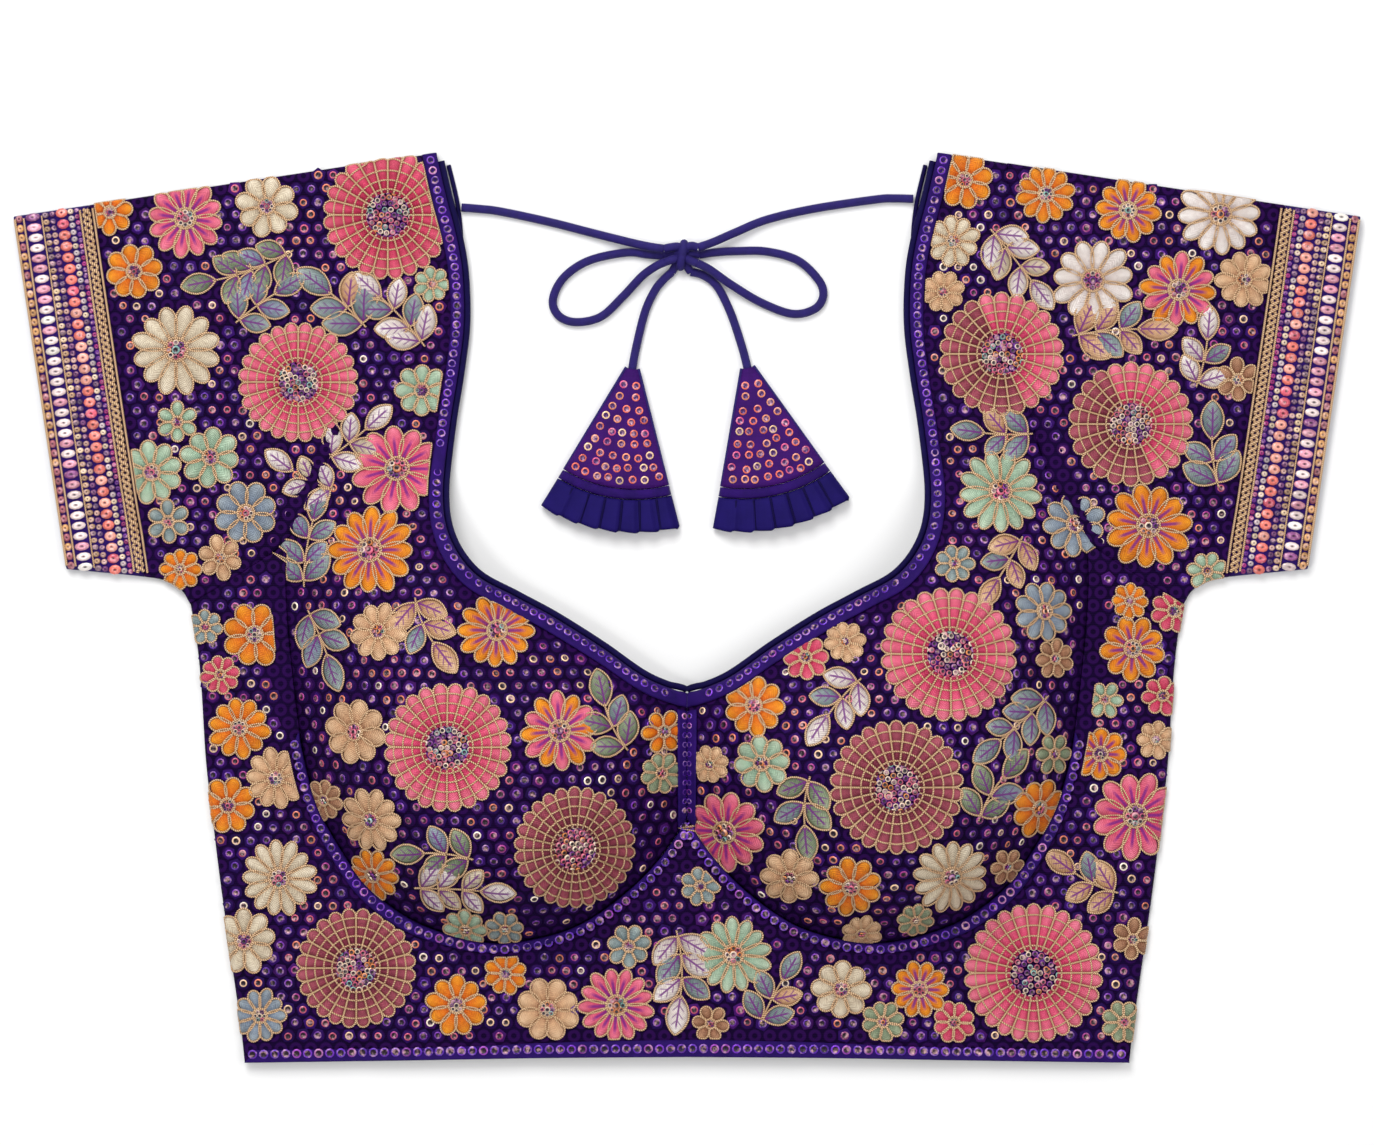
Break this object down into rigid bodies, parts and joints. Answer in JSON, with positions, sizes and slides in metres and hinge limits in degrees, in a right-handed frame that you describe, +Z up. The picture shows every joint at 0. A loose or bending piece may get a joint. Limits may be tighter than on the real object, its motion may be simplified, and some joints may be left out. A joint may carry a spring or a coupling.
{
  "type": "choli blouse",
  "caption": "Embroidered choli blouse laid flat, with short sleeves, sweetheart neck, padded cups and a tied back cord with tassels.",
  "frame": {"origin": "centre of the laid blouse's box, on the surface that it lies on", "axes": "+X to the right of the laid blouse as seen from above, across both sleeves; +Y from hem to shoulders; +Z up, out of the front"},
  "size_m": [0.5644, 0.3811, 0.0518],
  "materials": {
    "net": "embroidered net with sequins",
    "band": "ring sequins on ribbon",
    "border": "rows of beads, sequins and gold braid",
    "piping": "matte navy piping",
    "cord": "matte cord and pleated silk",
    "latkan": "sequined cloth",
    "tape": "cotton tape",
    "hook": "plain wire"
  },
  "bodies": {
    "root": {"back_hook_1": "hook", "back_hook_2": "hook", "back_hook_3": "hook", "back_hook_4": "hook", "back_left": "net", "back_piping_left": "piping", "back_piping_right": "piping", "back_placket": "tape", "back_right": "net", "centre_trim_left": "band", "centre_trim_right": "band", "cup_left": "net", "cup_right": "net", "cup_trim_left": "band", "cup_trim_right": "band", "dori_knot": "cord", "dori_left_lead": "cord", "dori_left_loop": "cord", "dori_left_tail": "cord", "dori_right_lead": "cord", "dori_right_loop": "cord", "dori_right_tail": "cord", "front_body": "net", "hem_band": "band", "latkan_left_braid": "band", "latkan_left_cone": "latkan", "latkan_left_frill": "cord", "latkan_right_braid": "band", "latkan_right_cone": "latkan", "latkan_right_frill": "cord", "neck_band_left": "band", "neck_band_right": "band", "neck_piping_left": "piping", "neck_piping_right": "piping", "sleeve_border_left": "border", "sleeve_border_right": "border", "sleeve_left": "net", "sleeve_right": "net"}
  },
  "joints": []
}
